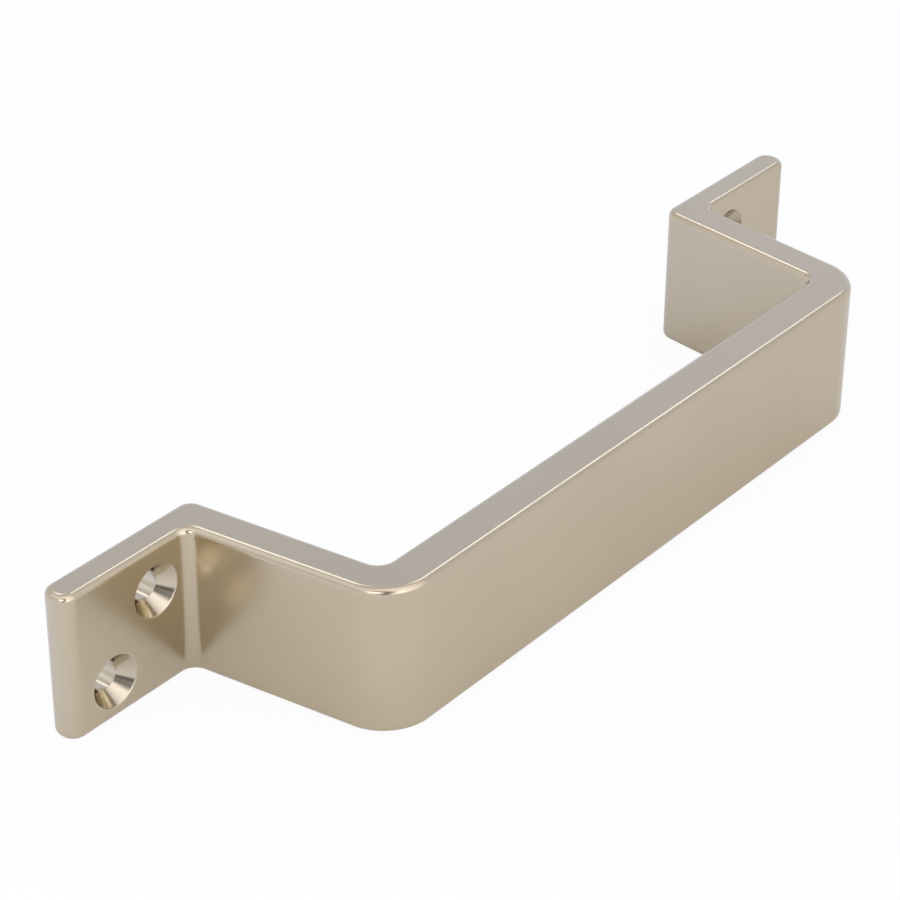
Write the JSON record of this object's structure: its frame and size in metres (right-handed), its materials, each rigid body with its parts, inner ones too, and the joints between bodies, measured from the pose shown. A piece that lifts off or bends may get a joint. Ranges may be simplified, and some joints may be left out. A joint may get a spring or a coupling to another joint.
{
  "type": "pull handle",
  "caption": "Hat-shaped pull handle of one bent flat bar with rounded long edges, leaning legs and flat feet with countersunk screw holes.",
  "frame": {"origin": "on the mounting plane (the backs of both feet), midway between the two inner, upper screw holes", "axes": "+X along the grip; +Y into the surface that the handle is screwed to, so the grip stands out towards -Y; +Z across the bar's width, towards the edge that the inner holes are nearer"},
  "size_m": [0.1804, 0.0405, 0.025],
  "materials": {
    "metal": "satin"
  },
  "bodies": {
    "root": {"handle": "metal"}
  },
  "joints": []
}
